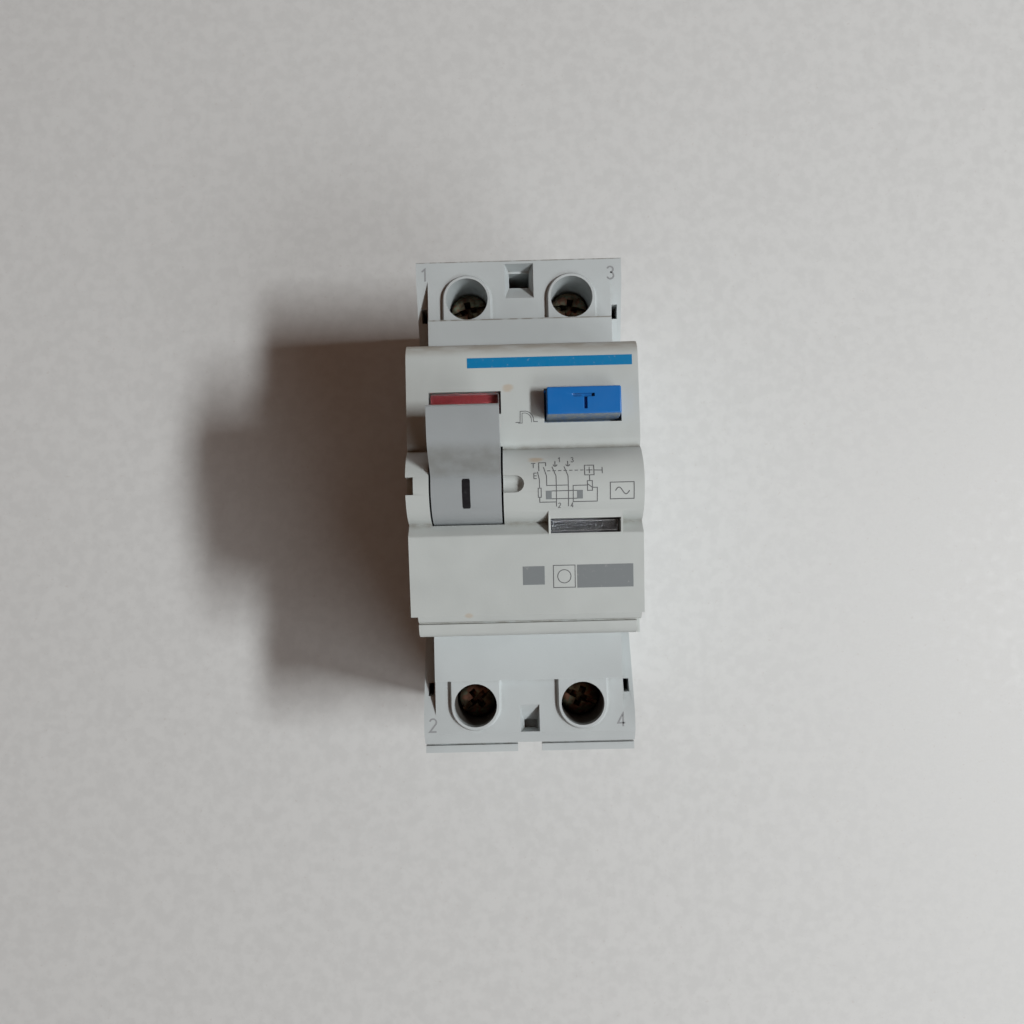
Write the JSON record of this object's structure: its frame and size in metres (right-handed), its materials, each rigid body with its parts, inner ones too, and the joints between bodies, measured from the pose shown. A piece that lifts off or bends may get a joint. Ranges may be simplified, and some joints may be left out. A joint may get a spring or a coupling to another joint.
{
  "type": "residual current device",
  "caption": "Rail-mounted residual current device with a rocking toggle, a test button, a sunk fault window and screw clamps at both ends.",
  "frame": {"origin": "on the plane of the DIN rail's front faces, at the middle of the width, on the rail's centre line", "axes": "+X to the right as the device is read, +Y towards the line terminals, +Z out of the front"},
  "size_m": [0.0356, 0.0852, 0.0735],
  "materials": {
    "housing_grey": "moulded light grey thermoplastic, fine matt texture",
    "cover_cream": "moulded warm off-white thermoplastic, slightly soiled",
    "clip_grey": "moulded dark grey nylon",
    "toggle_grey": "moulded mid-grey thermoplastic, satin",
    "button_blue": "moulded blue thermoplastic, satin",
    "flag_red": "moulded red thermoplastic",
    "flag_dark": "moulded dark grey thermoplastic",
    "lens_clear": "clear moulded polycarbonate",
    "carrier_black": "black thermoset moulding",
    "core_case": "tan moulded core case",
    "steel": "plain spring and pin steel",
    "plated_steel": "zinc plated, yellow passivated steel",
    "brass": "spring brass strip",
    "copper": "copper bar, wire and braid",
    "silver": "silver contact tip",
    "resistor_body": "lacquered ceramic resistor"
  },
  "bodies": {
    "housing": {"rear_base": "housing_grey", "terminal_housing": "housing_grey", "front_cover": "cover_cream", "din_clip_spring": "steel", "toggle_pin": "steel", "toggle_spring": "steel", "test_button_spring": "steel", "indicator_lens": "lens_clear", "position_lens": "lens_clear", "test_bracket": "carrier_black", "test_contact": "brass", "test_resistor": "resistor_body", "carrier_pin": "steel", "opening_spring": "steel", "transformer_core": "core_case", "secondary_winding": "copper", "relay_case": "carrier_black", "relay_lid": "carrier_black", "relay_yoke": "steel", "relay_coil": "copper", "relay_bracket": "steel", "trip_pin": "steel", "trip_spring": "steel", "line_bar_1": "copper", "fixed_contact_1": "silver", "braid_1": "copper", "line_bar_3": "copper", "fixed_contact_3": "silver", "braid_3": "copper", "load_bar_2": "copper", "primary_conductor_2": "copper", "load_bar_4": "copper", "primary_conductor_4": "copper"},
    "din_clip": {"din_clip": "clip_grey"},
    "toggle": {"toggle_lever": "toggle_grey"},
    "link": {"drive_link": "steel"},
    "carrier": {"contact_carrier": "carrier_black", "moving_contact_1": "copper", "moving_contact_3": "copper", "contact_spring_1": "steel", "contact_spring_3": "steel"},
    "position_flag": {"position_flag": "flag_red"},
    "test_button": {"test_button": "button_blue"},
    "fault_flag": {"fault_flag": "flag_dark"},
    "plunger": {"relay_plunger": "steel"},
    "trip_lever": {"trip_lever": "carrier_black"},
    "screw_1": {"terminal_screw_1": "plated_steel"},
    "cage_1": {"terminal_cage_1": "plated_steel"},
    "screw_3": {"terminal_screw_3": "plated_steel"},
    "cage_3": {"terminal_cage_3": "plated_steel"},
    "screw_2": {"terminal_screw_2": "plated_steel"},
    "cage_2": {"terminal_cage_2": "plated_steel"},
    "screw_4": {"terminal_screw_4": "plated_steel"},
    "cage_4": {"terminal_cage_4": "plated_steel"}
  },
  "joints": [
    {"name": "toggle_turn", "type": "hinge", "parent": "housing", "child": "toggle", "pos_m": [0, 0.0003, 0.057], "axis": [1, 0, 0], "range_deg": [0, 74], "deforming": ["toggle_spring"]},
    {"name": "link_turn", "type": "hinge", "parent": "toggle", "child": "link", "pos_m": [0, -0.0029, 0.0538], "axis": [1, 0, 0], "range_deg": [-95.5, 0]},
    {"name": "carrier_turn", "type": "hinge", "parent": "housing", "child": "carrier", "pos_m": [0, 0.013, 0.013], "axis": [1, 0, 0], "range_deg": [0, 25.5], "deforming": ["opening_spring", "braid_1", "braid_3"]},
    {"name": "position_flag_slide", "type": "slide", "parent": "housing", "child": "position_flag", "axis": [0, 1, 0], "range_m": [0, 0.0039]},
    {"name": "test_button_press", "type": "slide", "parent": "housing", "child": "test_button", "axis": [0, 0, -1], "range_m": [0, 0.002], "stiffness_N_per_m": 500, "springref_m": -0.003, "deforming": ["test_button_spring"]},
    {"name": "din_clip_slide", "type": "slide", "parent": "housing", "child": "din_clip", "axis": [0, -1, 0], "range_m": [0, 0.0035], "stiffness_N_per_m": 1500, "springref_m": -0.002, "deforming": ["din_clip_spring"]},
    {"name": "trip_turn", "type": "hinge", "parent": "housing", "child": "trip_lever", "pos_m": [0, -0.0005, 0.034], "axis": [1, 0, 0], "range_deg": [-10, 0], "stiffness_Nm_per_rad": 0.01, "springref_deg": 17.19, "deforming": ["trip_spring"]},
    {"name": "fault_flag_slide", "type": "slide", "parent": "housing", "child": "fault_flag", "axis": [0, 1, 0], "range_m": [0, 0.0034]},
    {"name": "plunger_slide", "type": "slide", "parent": "housing", "child": "plunger", "axis": [0, 1, 0], "range_m": [0, 0.0011]},
    {"name": "screw_turn_1", "type": "hinge", "parent": "housing", "child": "screw_1", "pos_m": [-0.009, 0.0338, 0.0355], "axis": [0, 0, -1], "range_deg": [0, 2521]},
    {"name": "cage_lift_1", "type": "slide", "parent": "housing", "child": "cage_1", "axis": [0, 0, 1], "range_m": [0, 0.0056]},
    {"name": "screw_turn_3", "type": "hinge", "parent": "housing", "child": "screw_3", "pos_m": [0.009, 0.0338, 0.0355], "axis": [0, 0, -1], "range_deg": [0, 2521]},
    {"name": "cage_lift_3", "type": "slide", "parent": "housing", "child": "cage_3", "axis": [0, 0, 1], "range_m": [0, 0.0056]},
    {"name": "screw_turn_2", "type": "hinge", "parent": "housing", "child": "screw_2", "pos_m": [-0.009, -0.03535, 0.0355], "axis": [0, 0, -1], "range_deg": [0, 2521]},
    {"name": "cage_lift_2", "type": "slide", "parent": "housing", "child": "cage_2", "axis": [0, 0, 1], "range_m": [0, 0.0056]},
    {"name": "screw_turn_4", "type": "hinge", "parent": "housing", "child": "screw_4", "pos_m": [0.009, -0.03535, 0.0355], "axis": [0, 0, -1], "range_deg": [0, 2521]},
    {"name": "cage_lift_4", "type": "slide", "parent": "housing", "child": "cage_4", "axis": [0, 0, 1], "range_m": [0, 0.0056]}
  ],
  "couplings": [
    {"joint": "link_turn", "follows": "toggle_turn", "ratio": -1.2757},
    {"joint": "carrier_turn", "follows": "toggle_turn", "ratio": 0.3378},
    {"joint": "position_flag_slide", "follows": "toggle_turn", "m_per_rad": 0.002942},
    {"joint": "trip_turn", "follows": "fault_flag_slide", "rad_per_m": -51.28},
    {"joint": "plunger_slide", "follows": "fault_flag_slide", "ratio": 0.2974},
    {"joint": "screw_turn_1", "follows": "cage_lift_1", "rad_per_m": 7854},
    {"joint": "screw_turn_3", "follows": "cage_lift_3", "rad_per_m": 7854},
    {"joint": "screw_turn_2", "follows": "cage_lift_2", "rad_per_m": 7854},
    {"joint": "screw_turn_4", "follows": "cage_lift_4", "rad_per_m": 7854}
  ]
}
